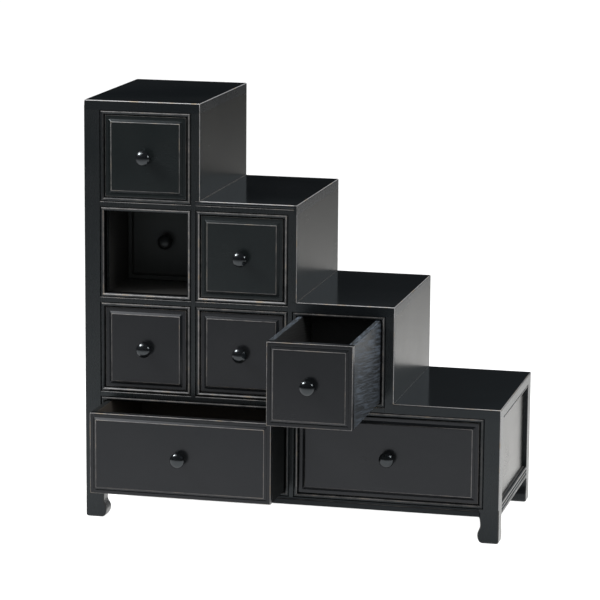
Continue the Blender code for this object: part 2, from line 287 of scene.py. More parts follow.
class Nodes:
    """A short way to write the node tree of a material or a world."""

    def __init__(self, owner, output):
        owner.use_nodes = True
        self.owner = owner
        self.tree = owner.node_tree
        self.tree.nodes.clear()
        self.output = self.tree.nodes.new(output)

    def node(self, kind, **inputs):
        """Makes a node. Inputs are its settings, its sockets by name, or its sockets by number as i0, i1."""
        made = self.tree.nodes.new(kind)
        for key, value in inputs.items():
            if hasattr(made, key):
                setattr(made, key, value)
                continue
            socket = made.inputs[int(key[1:])] if key[0] == "i" and key[1:].isdigit() else made.inputs[key]
            self.put(value, socket)
        return made

    def put(self, value, socket):
        if isinstance(value, bpy.types.NodeSocket):
            self.tree.links.new(value, socket)
        else:
            socket.default_value = value

    def math(self, operation, first, second=0.0, third=0.0, clamp=False):
        inputs = {"i0": first, "i1": second, "i2": third}
        return self.node("ShaderNodeMath", operation=operation, use_clamp=clamp, **inputs).outputs[0]

    def vary(self, value, pattern, amount):
        """Moves a value up and down by a pattern that runs from 0 to 1."""
        return self.math("MULTIPLY_ADD", self.math("SUBTRACT", pattern, 0.5), amount, value)

    def noise(self, vector, scale, detail=3.0, roughness=0.5):
        made = self.node("ShaderNodeTexNoise", Vector=vector, Scale=scale, Detail=detail, Roughness=roughness)
        return made.outputs[0]

    def stretched(self, scale):
        place = self.node("ShaderNodeTexCoord").outputs["Object"]
        return self.node("ShaderNodeMapping", Vector=place, Scale=scale).outputs[0]

    def brushed(self):
        """Coordinates drawn out along the depth, at a slight slope, as brush strokes run."""
        place = self.node("ShaderNodeTexCoord").outputs["Object"]
        turned = self.node("ShaderNodeMapping", Vector=place, Rotation=(0.14, 0.0, 0.0))
        return self.node("ShaderNodeMapping", Vector=turned.outputs[0], Scale=(1.0, 0.035, 1.0)).outputs[0]

    def span(self, value, low, high, to_low=0.0, to_high=1.0):
        """Maps low..high to to_low..to_high, easing in and out."""
        made = self.node("ShaderNodeMapRange", i0=value, i1=low, i2=high, i3=to_low, i4=to_high)
        made.interpolation_type = "SMOOTHSTEP"
        return made.outputs[0]

    def ramp(self, value, low, high):
        """Rises from 0 at low to 1 at high in a straight line, and stays there."""
        return self.math("DIVIDE", self.math("SUBTRACT", value, low), high - low, clamp=True)

    def mix(self, share, first, second):
        made = self.node("ShaderNodeMix", data_type="RGBA")
        self.put(share, made.inputs[0])
        self.put(first, made.inputs[6])
        self.put(second, made.inputs[7])
        return made.outputs[2]


# Tints of the lacquer's sheen
COOL = (0.92, 1.0, 1.05, 1.0)
NEUTRAL = (0.96, 0.985, 1.04, 1.0)
WARM = (1.0, 0.99, 0.93, 1.0)

# What shows where the lacquer is thin or gone, in brush marks, and on faces within the case
RUBBED_THIN = (0.060, 0.054, 0.050, 1.0)
BARE_PRIMER = (0.420, 0.415, 0.420, 1.0)
BARE_WOOD = (0.380, 0.310, 0.230, 1.0)
BRUSH_MARK = (0.115, 0.140, 0.175, 1.0)
# Faces within the case are duller, and lighter than most of the lacquer outside; the lighter tone is painted
# light that lifts their shade
DULL_INSIDE_PAINTED_LIGHT = (0.0225, 0.0220, 0.0212, 1.0)

# Scales of the grain's pattern, which is drawn out along one axis
GRAIN = {"x": (0.06, 1.0, 1.0), "y": (1.0, 0.06, 1.0), "z": (1.0, 1.0, 0.06)}


def lacquer(
    name,
    dark,
    light,
    gloss,
    level_gloss=None,
    grain="z",
    specular=0.45,
    tint=COOL,
    ripple=0.5,
    relief=0.00012,
    streak=0.0,
    within=DULL_INSIDE_PAINTED_LIGHT,
):
    """Old black lacquer: it varies in tone and gloss, shows faint grain, and is rubbed through on edges.

    gloss is the roughness, and level_gloss that of faces that look up, where it isn't the same. Faces marked
    in the attribute "inside" are duller and have the colour within. streak is the strength of brush marks."""
    made = Nodes(bpy.data.materials.new(name), "ShaderNodeOutputMaterial")
    even = made.stretched((1.0, 1.0, 1.0))
    along = made.stretched(GRAIN[grain])
    cloud = made.noise(even, 5.0, 3.0, 0.55)
    pores = made.noise(along, 420.0, 3.0, 0.6)
    bands = made.noise(along, 70.0, 2.0, 0.5)
    fine = made.noise(even, 900.0, 2.0, 0.5)
    patches = made.noise(even, 38.0, 4.0, 0.62)

    # Wear with a ragged edge: thin is where the lacquer is worn thin, through is where it is gone
    worn = made.node("ShaderNodeAttribute", attribute_name="wear").outputs["Fac"]
    ragged = made.vary(worn, patches, 0.55)
    ragged = made.vary(ragged, fine, 0.20)
    there = made.span(worn, 0.14, 0.34)
    through = made.math("MULTIPLY", made.span(ragged, 0.42, 1.00), there)
    thin = made.math("MULTIPLY", made.span(ragged, 0.18, 0.55), there)

    paint = made.mix(made.span(cloud, 0.35, 0.65), dark, light)
    paint = made.mix(made.math("MULTIPLY", made.span(bands, 0.45, 0.75), 0.35), paint, light)
    paint = made.mix(made.math("MULTIPLY", thin, 0.8), paint, RUBBED_THIN)
    bare = made.mix(made.span(patches, 0.50, 0.66), BARE_PRIMER, BARE_WOOD)
    colour = made.mix(through, paint, bare)
    if level_gloss is not None:
        normal = made.node("ShaderNodeTexCoord").outputs["Normal"]
        upward = made.node("ShaderNodeSeparateXYZ", Vector=normal).outputs[2]
        gloss = made.span(upward, 0.3, 0.8, gloss, level_gloss)
    rough = made.vary(gloss, cloud, 0.10)
    rough = made.vary(rough, pores, 0.06)
    if streak:
        strokes = made.span(made.noise(made.brushed(), 330.0, 2.0, 0.5), 0.45, 0.60)
        strokes = made.math("MULTIPLY", strokes, made.span(cloud, 0.36, 0.62, 0.45, 1.0))
        colour = made.mix(made.math("MULTIPLY", strokes, streak), colour, BRUSH_MARK)
        rough = made.math("MULTIPLY_ADD", strokes, 0.12, rough)
    # Faces within the case take the within colour: duller, and lighter as painted light in the shade of the
    # case
    inside = made.node("ShaderNodeAttribute", attribute_name="inside").outputs["Fac"]
    colour = made.mix(inside, colour, within)
    rough = made.math("MULTIPLY_ADD", inside, 0.25, rough)
    rough = made.math("MULTIPLY_ADD", thin, 0.22, rough, clamp=True)

    height = made.math("MULTIPLY_ADD", pores, 0.30, made.math("MULTIPLY", bands, ripple))
    height = made.math("MULTIPLY_ADD", made.math("SUBTRACT", 1.0, through), 0.5, height)
    bump = made.node("ShaderNodeBump", Strength=0.5, Distance=relief, Height=height).outputs[0]
    shader = made.node("ShaderNodeBsdfPrincipled", Roughness=rough, Normal=bump)
    made.put(colour, shader.inputs["Base Color"])
    made.put(specular, shader.inputs["Specular IOR Level"])
    made.put(tint, shader.inputs["Specular Tint"])
    made.put(shader.outputs[0], made.output.inputs[0])
    return made.owner


# Frame and case
FRAME = lacquer("frame_lacquer", (0.0064, 0.0080, 0.0086, 1), (0.0095, 0.0105, 0.0112, 1), 0.27)
TOP = lacquer(
    "top_lacquer",
    (0.0042, 0.0054, 0.0064, 1),
    (0.0062, 0.0074, 0.0084, 1),
    0.27,
    level_gloss=0.13,
    grain="x",
    relief=0.00006,
)
PANEL = lacquer(
    "panel_lacquer",
    (0.0052, 0.0056, 0.0046, 1),
    (0.0070, 0.0074, 0.0062, 1),
    0.25,
    grain="y",
    tint=WARM,
    ripple=0.10,
    relief=0.00003,
)
# Painted shade: a darker, less glossy copy of the frame lacquer for the bottom rail, which sits low in shade
SHADED_LOW_RAIL = lacquer(
    "shaded_low_rail_lacquer",
    (0.0050, 0.0062, 0.0072, 1),
    (0.0074, 0.0086, 0.0096, 1),
    0.30,
    grain="x",
    specular=0.26,
)
INNER = lacquer("inner_board", (0.0100, 0.0085, 0.0072, 1), (0.0160, 0.0130, 0.0105, 1), 0.55, grain="x")

# Drawer fronts: most of them, those in the top two rows, and the one deep in its cell, painted lighter to
# stand in for light in its shaded cell
FRONT = lacquer(
    "front_lacquer",
    (0.0054, 0.0062, 0.0070, 1),
    (0.0078, 0.0084, 0.0092, 1),
    0.25,
    grain="x",
    tint=NEUTRAL,
    relief=0.00005,
)
UPPER_FRONT = lacquer(
    "upper_front_lacquer",
    (0.0046, 0.0066, 0.0070, 1),
    (0.0070, 0.0088, 0.0090, 1),
    0.25,
    grain="x",
    relief=0.00005,
)
# Painted light: the front deep in its cell is several times lighter than the others, and duller, so it
# doesn't sink into the cell's shade
DEEP_FRONT_PAINTED_LIGHT = lacquer(
    "deep_front_painted_light_lacquer",
    (0.0210, 0.0228, 0.0216, 1),
    (0.0272, 0.0290, 0.0276, 1),
    0.50,
    specular=0.35,
)

# Drawer boxes: brushed sides, the sides of the wide drawers darkened with painted shade, and bottoms
SIDE = lacquer(
    "drawer_side",
    (0.0225, 0.0245, 0.0265, 1),
    (0.0300, 0.0325, 0.0350, 1),
    0.42,
    grain="y",
    streak=0.72,
)
# Painted shade: a darker, matt copy of the drawer side for the low drawers in shade under row 3. Its brown
# inside colour is painted light that lifts their dark insides
PAINTED_SHADE_SIDE = lacquer(
    "painted_shade_drawer_side",
    (0.0120, 0.0130, 0.0132, 1),
    (0.0160, 0.0172, 0.0175, 1),
    0.50,
    grain="y",
    specular=0.0,
    within=(0.105, 0.093, 0.080, 1.0),
)
FLOORING = lacquer(
    "drawer_bottom",
    (0.0120, 0.0100, 0.0080, 1),
    (0.0200, 0.0160, 0.0120, 1),
    0.58,
    grain="x",
)

# Knobs: the glossy ones, and the one deep in its cell
KNOB = lacquer(
    "knob_lacquer",
    (0.0040, 0.0046, 0.0052, 1),
    (0.0060, 0.0066, 0.0074, 1),
    0.17,
    specular=0.8,
    relief=0.00002,
)
DULL_KNOB = lacquer(
    "dull_knob_lacquer",
    (0.0060, 0.0066, 0.0062, 1),
    (0.0080, 0.0086, 0.0082, 1),
    0.40,
    specular=0.5,
    relief=0.00002,
)


# ---------------------------------------------------------------- posts


def foot_reach(height, slim):
    """How far the foot's inner edge stands from the post's outer face at a height.

    slim is how much narrower this face of the post is than its front."""
    neck = NECK[0] - slim
    swell = SWELL[0] - slim
    sole = SOLE - slim
    full = POST - slim
    if height >= RAIL_LOW:
        return full
    if height >= NECK[1]:
        turn = (height - NECK[1]) / (RAIL_LOW - NECK[1])
        return neck + (full - neck) * (1 - math.sqrt(max(0.0, 1 - turn * turn)))
    if height >= SWELL[1]:
        part = (height - SWELL[1]) / (NECK[1] - SWELL[1])
        return swell + (neck - swell) * (1 - math.cos(math.pi * part)) / 2
    drop = 1 - height / SWELL[1]
    return sole + (swell - sole) * math.sqrt(max(0.0, 1 - drop * drop))


def foot_rings(top):
    """Rings of the carved foot under a post whose outer corner is at (0, 0)."""
    rings = []
    wear = []
    slim = POST - POST_DEPTH
    corner_radius = 0.0026
    corner_middles = (1, 2, 3)
    for height in (*FOOT_LEVELS, RAIL_LOW, top):
        drop = 1 - min(1.0, height / SOLE_ROUND)
        tuck = SOLE_ROUND * (1 - math.sqrt(max(0.0, 1 - drop ** 2)))
        ring = rounded_rectangle(
            tuck, foot_reach(height, 0.0), tuck, foot_reach(height, slim), corner_radius
        )
        rings.append([(x, y, height) for x, y in ring])
        rub = 0.75 if height < 0.004 else 0.45
        wear.append([
            rub if number % (CORNER_STEPS + 1) in corner_middles else 0.0
            for number in range(len(ring))
        ])
    return rings, wear


def mirrored(points, flip_x, flip_y):
    return [
        (WIDTH - x if flip_x else x, DEPTH - y if flip_y else y, z)
        for x, y, z in points
    ]


def add_post(name, flip_x, flip_y, high):
    """A corner post on its foot. Front posts are sunk along their inner edge, where the beads stand."""
    piece = Piece()
    seam = BASE_TOP - BEAD
    rings, wear = foot_rings(seam)
    points, faces, worn = loft([mirrored(ring, flip_x, flip_y) for ring in rings], wear)
    piece.add(points, turned_over(faces) if flip_x != flip_y else faces, worn)
    inner = POST - BEAD
    outline = [(0, 0), (inner, 0), (inner, SINK), (POST, SINK), (POST, POST_DEPTH), (0, POST_DEPTH)]
    if flip_y:
        outline = [(0, 0), (POST, 0), (POST, POST_DEPTH), (0, POST_DEPTH)]
    outline = [point[:2] for point in mirrored([(x, y, 0) for x, y in outline], flip_x, flip_y)]
    shaft = Shell(outline, "z", seam, high)
    outer = WIDTH if flip_x else 0.0
    face = DEPTH if flip_y else 0.0
    rear = DEPTH - POST_DEPTH if flip_y else POST_DEPTH
    shaft.soften(ARRIS, (1.3 if flip_x else 0.45, ("x", outer), ("y", face)))
    shaft.soften(0.0016, (0.6, ("x", outer), ("y", rear)))
    if not flip_y:
        groove = WIDTH - POST + BEAD if flip_x else POST - BEAD
        shaft.soften(EASE, (0.35, ("x", groove), ("y", 0.0)), segments=3)
    piece.add_shell(shaft)
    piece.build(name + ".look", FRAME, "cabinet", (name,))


def add_posts():
    tall = TOPS[0] - BOARD
    short = TOPS[3] - BOARD
    add_post("post_front_left", False, False, tall)
    add_post("post_rear_left", False, True, tall)
    add_post("post_front_right", True, False, short)
    add_post("post_rear_right", True, True, short)


# ---------------------------------------------------------------- step boards


def add_step_boards():
    piece = Piece()
    board = box((0.0, 0.0, TOPS[0] - BOARD), (EDGES[0], DEPTH, TOPS[0]))
    board.soften(
        ARRIS,
        (1.3, ("z", TOPS[0])),
        (0.9, ("y", 0.0), ("x", EDGES[0])),
        (0.45, ("y", 0.0), ("x", 0.0)),
        (0.8, ("y", DEPTH), ("x", EDGES[0])),
        (0.8, ("y", DEPTH), ("x", 0.0)),
    )
    piece.add_shell(board)
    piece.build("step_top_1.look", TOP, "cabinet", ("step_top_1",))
    for level in (1, 2, 3):
        add_lower_board(level)


def add_lower_board(level):
    """A step top that runs on to the left as the shelf under the row above it.

    The shelf is cut where the upright boards cross it. Step 2's front is sunk behind a bead."""
    top = TOPS[level]
    low = top - BOARD
    right = EDGES[level]
    step_left = EDGES[level - 1]
    beaded = level == 1
    lowest = level == 3
    piece = Piece()
    walls = [edge - STILE for edge in EDGES[:level]]
    cells = [(POST + GAP, walls[0])]
    cells += [(wall + STILE, following) for wall, following in zip(walls, walls[1:])]
    shelf_front = SINK + 0.0005
    for left_end, right_end in cells:
        shelf = box((left_end, shelf_front, low), (right_end, INNER_REAR, top))
        shelf.soften(0.0008, (0.2, ("z", top), ("y", shelf_front)), segments=2)
        piece.add_shell(shelf, inside=1.0)
    under_riser = box((step_left - STILE + 0.0002, SINK, low), (step_left, DEPTH - 0.0010, top - 0.0004))
    piece.add_shell(under_riser)

    main = box((step_left, SINK if beaded else 0.0, low), (right, DEPTH, top))
    corners = [
        (0.85 if lowest else 1.25, ("z", top), ("x", right)),
        (0.8, ("z", top), ("y", DEPTH)),
        (0.8, ("y", DEPTH), ("x", right)),
    ]
    if not beaded:
        corners += [(1.0, ("z", top), ("y", 0.0)), (1.25, ("y", 0.0), ("x", right))]
    main.soften(ARRIS, *corners)
    if lowest:
        main.soften(0.0018, (0.75, ("z", low), ("x", right)))
    piece.add_shell(main)
    if beaded:
        add_beaded_edge(piece, step_left - BEAD, right, top)
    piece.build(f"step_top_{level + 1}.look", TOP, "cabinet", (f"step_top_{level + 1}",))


def add_beaded_edge(piece, left, right, top):
    """Step 2's exposed front: a bead along the top, up to a plain block at the corner."""
    block = right - CORNER_BLOCK
    corner = box((block, 0.0, top - BOARD), (right, SINK, top))
    corner.soften(
        ARRIS,
        (0.9, ("z", top), ("x", right)),
        (0.9, ("z", top), ("y", 0.0)),
        (0.9, ("y", 0.0), ("x", right)),
    )
    piece.add_shell(corner)
    # The rub peaks on the bead's upper part, where the highlight from above falls: part rub, part painted
    # highlight
    profile = [(MOULDING_BACK, top - 0.0003, 0.0), (BEAD_RADIUS + 0.0002, top, 0.1)]
    for step in range(1, 12):
        turn = math.pi * step / 12
        profile.append((
            BEAD_RADIUS + 0.0002 - BEAD_RADIUS * math.sin(turn),
            top - BEAD / 2 + BEAD / 2 * math.cos(turn) + 0.0001,
            0.85 if step in (2, 3) else 0.1,
        ))
    profile += [(0.0056, top - BEAD, 0.0), (MOULDING_BACK, top - BEAD, 0.0)]
    rings = [[(x, depth, z) for depth, z, _ in profile] for x in (left, block + 0.001)]
    points, faces, wear = loft(rings, [[rub for _, _, rub in profile]] * 2)
    piece.add(points, turned_over(faces), wear)


# ---------------------------------------------------------------- beads, rails and stiles

# How rubbed each side of an opening's bead is: left, right, bottom, top
BEAD_RUBBED = {
    "r1c1": (0.50, 0.86, 0.72, 0.90),
    "r2c1": (0.92, 1.00, 1.10, 0.90),
    "r2c2": (1.15, 0.95, 1.25, 0.85),
    "r3c1": (0.45, 0.90, 1.10, 0.90),
    "r3c2": (1.20, 0.80, 1.10, 0.80),
    "r3c3": (0.70, 0.90, 0.60, 0.75),
    "r4_left": (0.60, 0.70, 0.70, 0.85),
    "r4_right": (0.95, 0.62, 0.86, 0.95),
}


def opening(drawer):
    """A drawer's opening as left, right, low and high, in chest coordinates."""
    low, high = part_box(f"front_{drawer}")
    return (
        low.x - SIDE_GAP - CORNER.x,
        high.x + SIDE_GAP - CORNER.x,
        low.z - LIFT_GAP,
        high.z + LIFT_GAP,
    )


def bead_profile(rub_and_highlight_peak):
    """Offsets outwards from the opening's edge, depths behind the front plane, and how rubbed each is.

    The last argument is where the light line peaks, from 0 at its inner edge to 1 at its outer edge. On the
    top and bottom beads it sits on the upper half, where the highlight from above falls: part rub, part
    painted highlight."""
    points = [(0.0, MOULDING_BACK, 0.0), (0.0, 0.0052, 0.25), (0.0005, 0.0046, 0.15)]
    for step in range(13):
        turn = math.pi * (0.03 + 0.94 * step / 12)
        rub = math.cos(min(math.pi / 2, 1.25 * abs(turn - math.pi * rub_and_highlight_peak)))
        points.append((
            BEAD / 2 - (BEAD_RADIUS + 0.0001) * math.cos(turn),
            BEAD_RADIUS + 0.0002 - BEAD_RADIUS * math.sin(turn),
            0.68 * rub ** 4,
        ))
    points += [(BEAD - 0.0001, 0.0056, 0.0), (BEAD - 0.0001, MOULDING_BACK, 0.0)]
    return points


def add_bead(drawer):
    """The half-round moulding round one opening, mitred at its corners."""
    left, right, low, high = opening(drawer)
    rub_left, rub_right, rub_bottom, rub_top = BEAD_RUBBED[drawer]
    # Where each side's light line peaks: the top and bottom beads peak on their upper halves, where the
    # highlight from above falls, so the line is part rub and part painted highlight
    sides = (
        (rub_bottom, 0.37, (left, low, -1, -1), (right, low, 1, -1)),
        (rub_right, 0.50, (right, low, 1, -1), (right, high, 1, 1)),
        (rub_top, 0.62, (right, high, 1, 1), (left, high, -1, 1)),
        (rub_left, 0.31, (left, high, -1, 1), (left, low, -1, -1)),
    )
    piece = Piece()
    for side_rub, rub_and_highlight_peak, *ends in sides:
        profile = bead_profile(rub_and_highlight_peak)
        rings = [
            [(x + way_x * out, depth, z + way_z * out) for out, depth, _ in profile]
            for x, z, way_x, way_z in ends
        ]
        piece.add(*loft(rings, [[rub * side_rub for _, _, rub in profile]] * 2))
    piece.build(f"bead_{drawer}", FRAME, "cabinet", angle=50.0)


def add_strip(piece, left, right, low, high):
    """A flat between two beads, standing forward of the sunk face, with a well rubbed upper edge."""
    bar = box((left, 0.0, low), (right, SINK + 0.001, high))
    bar.soften(FLAT_ROUND, (0.86, ("y", 0.0), ("z", high)), segments=4, profile=0.5)
    bar.soften(EASE, (0.30, ("y", 0.0), ("z", low)), segments=3)
    piece.add_shell(bar)


def add_rails():
    """Each rail is the backing behind the beads under a board, with the flats between its beads."""
    for level, top in enumerate(TOPS):
        board_low = top - BOARD
        right = WIDTH - POST if level == 3 else EDGES[level] - STILE
        piece = Piece()
        piece.add_shell(box((POST, BACKING, board_low - BEAD_RAIL), (right, RAIL_DEPTH, board_low)))
        low = top - FLAT_LOW
        high = top - BEAD
        ends = [edge - STILE + BEAD for edge in EDGES[:level]]
        starts = [POST - BEAD, *[end + BEAD for end in ends]]
        for start, end in zip(starts, ends):
            add_strip(piece, start, end, low, high)
        if level == 1:
            end = EDGES[1] - STILE + BEAD
            add_strip(piece, starts[1], end, low, high)
            corner = box((end, 0.0, board_low), (EDGES[1] - CORNER_BLOCK, SINK + 0.001, high))
            corner.soften(FLAT_ROUND, (0.86, ("y", 0.0), ("z", high)), segments=4, profile=0.5)
            piece.add_shell(corner)
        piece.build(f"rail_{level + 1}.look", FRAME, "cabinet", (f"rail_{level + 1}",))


def add_bottom_rail():
    """The rail between the front feet: backing for the beads, a flat, and a lip that stands out below."""
    flat = 0.0018
    lip_top = 0.0720
    outline = [
        (BACKING, BASE_TOP),
        (RAIL_DEPTH, BASE_TOP),
        (RAIL_DEPTH, RAIL_LOW),
        (0.0, RAIL_LOW),
        (0.0, lip_top),
        (flat, lip_top + flat),
        (flat, BASE_TOP - BEAD),
        (BACKING, BASE_TOP - BEAD),
    ]
    tongue = 0.004
    rail = Shell(outline, "x", POST - tongue, WIDTH - POST + tongue)
    rail.soften(0.0012, (0.5, ("y", 0.0), ("z", lip_top)), segments=3)
    rail.soften(0.0012, (0.3, ("y", flat), ("z", BASE_TOP - BEAD)), segments=3)
    rail.soften(FLAT_ROUND, (0.6, ("y", 0.0), ("z", RAIL_LOW)), segments=4)
    piece = Piece()
    piece.add_shell(rail)
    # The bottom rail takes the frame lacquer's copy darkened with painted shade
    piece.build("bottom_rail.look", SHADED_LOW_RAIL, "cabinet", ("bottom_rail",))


def add_narrow_flat(piece, left, right, low, high):
    """The flat between the two beads on a stile."""
    bar = box((left + BEAD, 0.0, low), (right - BEAD, SINK, high))
    for edge in (left + BEAD, right - BEAD):
        bar.soften(EASE, (0.4, ("x", edge), ("y", 0.0)), segments=3)
    piece.add_shell(bar)


def add_stiles():
    """The upright strips between drawers. Above its step a stile is bare up to the riser's edge."""
    low = TOPS[3]
    for number in range(3):
        right = EDGES[number]
        left = right - STILE
        high = TOPS[number] - BOARD
        step = TOPS[number + 1]
        piece = Piece()
        piece.add_shell(box((left, SINK, low), (right, STILE_DEPTH, high)))
        bare = box((left + BEAD, 0.0, step), (right, SINK, high))
        bare.soften(ARRIS, (1.1, ("x", right), ("y", 0.0)))
        bare.soften(EASE, (0.35, ("x", left + BEAD), ("y", 0.0)), segments=3)
        piece.add_shell(bare)
        add_narrow_flat(piece, left, right, low - FLAT_LOW, step)
        if number:
            foot_low = step - FLAT_LOW
            foot = box((right - BEAD - EASE, 0.0, foot_low), (right - 0.0001, SINK, step - 0.0004))
            foot.soften(EASE, (0.3, ("y", 0.0), ("z", foot_low)), segments=3)
            piece.add_shell(foot)
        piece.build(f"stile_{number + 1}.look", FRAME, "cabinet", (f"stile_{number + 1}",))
    right = CENTRE + STILE
    piece = Piece()
    piece.add_shell(box((CENTRE, SINK, BASE_TOP), (right, STILE_DEPTH, TOPS[3] - BOARD)))
    add_narrow_flat(piece, CENTRE, right, BASE_TOP - BEAD, TOPS[3] - FLAT_LOW)
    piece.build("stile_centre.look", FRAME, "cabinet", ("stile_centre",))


# ---------------------------------------------------------------- partitions, sides and back


# How rubbed the fillet at the foot of each riser is
FILLET_RUBBED = (0.50, 0.42, 0.28)


def add_partitions():
    """The upright boards behind the stiles: risers above a step, and walls between cells below it."""
    near = STILE_DEPTH - 0.0004
    for number in range(3):
        right = EDGES[number]
        left = right - STILE
        step = TOPS[number + 1]
        piece = Piece()
        riser = box((left, near, step), (right, DEPTH, TOPS[number] - BOARD))
        riser.soften(ARRIS, (0.8, ("x", right), ("y", DEPTH)))
        piece.add_shell(riser)
        levels = TOPS[number + 1:]
        for upper, lower in zip(levels, levels[1:]):
            wall = box((left, near, lower), (right, INNER_REAR, upper - BOARD))
            piece.add_shell(wall, inside=1.0)
        add_fillet(piece, right, step, FILLET_RUBBED[number])
        name = f"partition_{number + 1}"
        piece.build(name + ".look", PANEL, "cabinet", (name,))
    piece = Piece()
    piece.add_shell(box((CENTRE, near, BASE_TOP), (CENTRE + STILE, INNER_REAR, TOPS[3] - BOARD)))
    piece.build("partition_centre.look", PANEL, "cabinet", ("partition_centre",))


def add_fillet(piece, right, step, rub):
    """The small hollow moulding where a riser meets its step."""
    radius = 0.0016
    fillet = [(right - 0.0005, step - 0.0005)]
    for number in range(5):
        turn = math.pi / 2 * number / 4
        fillet.append((right + radius * (1 - math.sin(turn)), step + radius * (1 - math.cos(turn))))
    margin = 0.003
    rings = [[(x, y, z) for x, z in fillet] for y in (margin, DEPTH - margin)]
    piece.add(*loft(rings, [[0.0] + [rub] * 5] * 2))


def half_round(reach, middle, radius, sharpness):
    """A half-round moulding on a side, from its upper end: depths, heights and how rubbed each is."""
    points = []
    for step in range(9):
        turn = math.pi * step / 8
        rub = 0.9 * math.sin(turn) ** sharpness
        points.append((reach - reach * math.sin(turn), middle + radius * math.cos(turn), rub))
    return points


def side_rail_profile():
    """Depths behind the side's outer face, heights and rub: two half-rounds over a plain foot."""
    return [
        (RAIL_DEPTH, BASE_TOP, 0.5),
        (0.0055, BASE_TOP, 0.6),
        *half_round(0.0045, BASE_TOP - 0.0045, 0.0042, 2),
        (0.0032, BASE_TOP - 0.0095, 0.0),
        *half_round(0.0035, BASE_TOP - 0.0130, 0.0033, 4),
        (0.0030, BASE_TOP - 0.0172, 0.0),
        (0.0010, BASE_TOP - 0.0185, 0.3),
        (0.0, BASE_TOP - 0.0195, 0.4),
        (0.0, RAIL_LOW + 0.0015, 0.4),
        (0.0015, RAIL_LOW, 0.4),
        (RAIL_DEPTH, RAIL_LOW, 0.0),
    ]


def cover_profile(high):
    """The thin moulding along the top of a side panel."""
    back = RECESS + 0.0005
    return [
        (back, high - 0.0040, 0.0),
        (0.0030, high - 0.0040, 0.2),
        (0.0016, high - 0.0046, 0.9),
        (0.0010, high - 0.0058, 0.9),
        (0.0020, high - 0.0072, 0.2),
        (back, high - 0.0078, 0.0),
    ]


def joint_shade_profile(high):
    """A dark matt band in the joint between a side panel's top moulding and the board over it: painted shade
    for the joint's shadow.
    """
    back = RECESS + 0.0005
    face = 0.0022
    low = high - 0.0044
    return [(back, high, 0.0), (face, high, 0.0), (face, low, 0.0), (back, low, 0.0)]


def add_side_moulding(piece, profile, flip):
    """Runs a profile along a side of the chest, from post to post."""
    outer, way = (WIDTH, -1) if flip else (0.0, 1)
    ends = (POST_DEPTH, DEPTH - POST_DEPTH)
    rings = [[(outer + way * x, y, z) for x, z, _ in profile] for y in ends]
    piece.add(*loft(rings, [[rub for _, _, rub in profile]] * 2))


def add_sides():
    """Recessed side panels with their top mouldings, dark bands of painted shade in the joints above them,
    and the rails under them.
    """
    front = POST_DEPTH
    rear = DEPTH - POST_DEPTH
    for name, flip, high in (("left", False, TOPS[0] - BOARD), ("right", True, TOPS[3] - BOARD)):
        panel = Piece()
        corners = [(RECESS, BASE_TOP), (POST, BASE_TOP), (POST, high), (RECESS, high)]
        outline = [(WIDTH - x if flip else x, z) for x, z in corners]
        panel.add_shell(Shell(outline, "y", front, rear))
        add_side_moulding(panel, cover_profile(high), flip)
        # Painted shade: a dark matt band where the joint's shadow falls
        groove = Piece()
        add_side_moulding(groove, joint_shade_profile(high), flip)
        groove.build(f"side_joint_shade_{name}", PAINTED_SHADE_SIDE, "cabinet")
        node = f"side_panel_{name}"
        heart = Vector((WIDTH / 2, (front + rear) / 2, high / 2))
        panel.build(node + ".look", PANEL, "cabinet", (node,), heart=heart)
        rail = Piece()
        add_side_moulding(rail, side_rail_profile(), flip)
        node = f"side_rail_{name}"
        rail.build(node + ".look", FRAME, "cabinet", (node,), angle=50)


def add_back():
    """One stepped board, set a little in from the back plane."""
    rear = DEPTH - 0.0015
    rights = [*[edge - STILE for edge in EDGES[:3]], WIDTH - POST]
    outline = [(POST, RAIL_LOW), (rights[3], RAIL_LOW)]
    for level in (3, 2, 1, 0):
        high = TOPS[level] - BOARD
        outline += [(rights[level], high), (rights[level - 1] if level else POST, high)]
    panel = Shell(outline, "y", INNER_REAR, rear)
    panel.soften(0.0010, (0.3, ("y", rear)), segments=3)
    piece = Piece()
    piece.add_shell(panel)
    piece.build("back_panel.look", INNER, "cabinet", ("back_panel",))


# ---------------------------------------------------------------- drawers

# Drawers that stand out are rubbed more on their outer edges. The figures are how rubbed each front is near
# its corners, anticlockwise from the lower left. The one kept deep in its cell and the upper left of r4_right
# get little rub: painted shade that keeps their edge lines dark where shade falls.
OUT = ("r3c3", "r4_left")
FRONT_RUB_AND_PAINTED_SHADE = {
    "r1c1": (0.92, 0.86, 1.0, 1.0),
    "r2c1": (0.15, 0.15, 0.15, 0.15),
    "r2c2": (0.90, 0.88, 0.95, 0.88),
    "r3c1": (0.85, 1.0, 1.0, 0.9),
    "r3c2": (0.90, 0.80, 0.85, 0.95),
    "r3c3": (0.85, 0.85, 0.95, 0.95),
    "r4_left": (0.75, 0.95, 1.0, 1.0),
    "r4_right": (0.60, 1.05, 0.95, 0.15),
}
# The front deep in its cell takes the copy lightened with painted light
FRONT_FINISH = {"r1c1": UPPER_FRONT, "r2c1": DEEP_FRONT_PAINTED_LIGHT, "r2c2": UPPER_FRONT}


